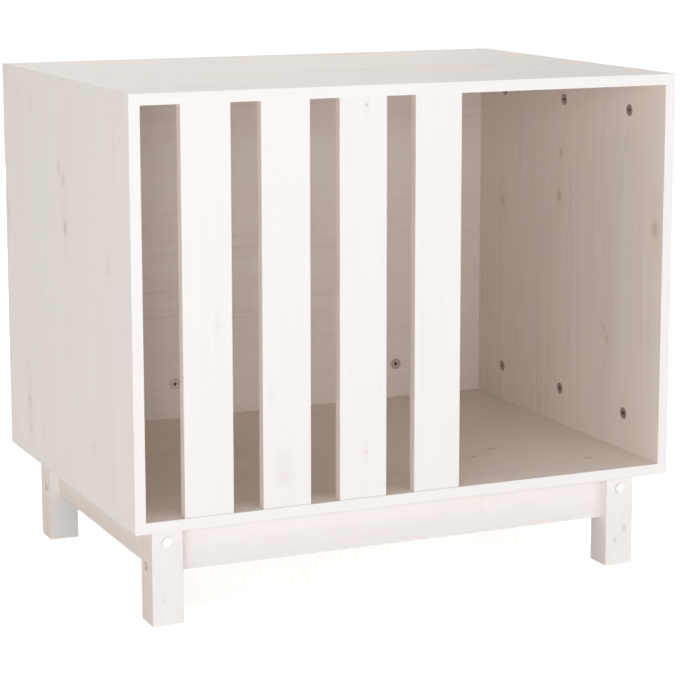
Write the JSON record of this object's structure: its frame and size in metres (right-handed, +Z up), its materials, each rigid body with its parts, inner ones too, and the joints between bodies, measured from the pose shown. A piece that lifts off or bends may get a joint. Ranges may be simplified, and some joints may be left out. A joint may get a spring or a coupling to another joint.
{
  "type": "dog house",
  "caption": "Open-fronted pet house of white-washed pine boards with upright slats beside the entrance, standing on a leg frame.",
  "frame": {"origin": "on the floor under the middle of the box's outline", "axes": "+Z up, +X to the right seen from the front, +Y to the back; the entrance and the slats face -Y"},
  "size_m": [0.7, 0.5, 0.62],
  "materials": {
    "whitewashed_pine": "white-washed solid pine, sanded, matte, with the grain and knots showing through",
    "beech_dowels": "bare beech, matte",
    "zinc_cams": "die-cast zinc, satin grey",
    "steel_bolts": "zinc-plated steel, satin",
    "steel_screws": "zinc-plated steel, satin",
    "white_caps": "moulded white plastic, semi-gloss"
  },
  "bodies": {
    "root": {"top_panel": "whitewashed_pine", "bottom_panel": "whitewashed_pine", "left_side_panel": "whitewashed_pine", "right_side_panel": "whitewashed_pine", "back_panel": "whitewashed_pine", "slat_1": "whitewashed_pine", "slat_2": "whitewashed_pine", "slat_3": "whitewashed_pine", "slat_4": "whitewashed_pine", "front_left_leg": "whitewashed_pine", "front_right_leg": "whitewashed_pine", "back_left_leg": "whitewashed_pine", "back_right_leg": "whitewashed_pine", "front_rail": "whitewashed_pine", "back_rail": "whitewashed_pine", "left_rail": "whitewashed_pine", "right_rail": "whitewashed_pine", "left_panel_cams": "zinc_cams", "right_panel_cams": "zinc_cams", "back_panel_cams": "zinc_cams", "left_panel_bolts": "steel_bolts", "right_panel_bolts": "steel_bolts", "back_panel_bolts": "steel_bolts", "left_panel_dowels": "beech_dowels", "right_panel_dowels": "beech_dowels", "back_panel_dowels": "beech_dowels", "back_side_dowels": "beech_dowels", "slat_dowels": "beech_dowels", "rail_dowels": "beech_dowels", "leg_dowels": "beech_dowels", "leg_screws_front_back": "steel_screws", "leg_screws_sides": "steel_screws", "base_screws": "steel_screws", "front_left_cap": "white_caps", "front_right_cap": "white_caps", "back_left_cap": "white_caps", "back_right_cap": "white_caps"}
  },
  "joints": []
}
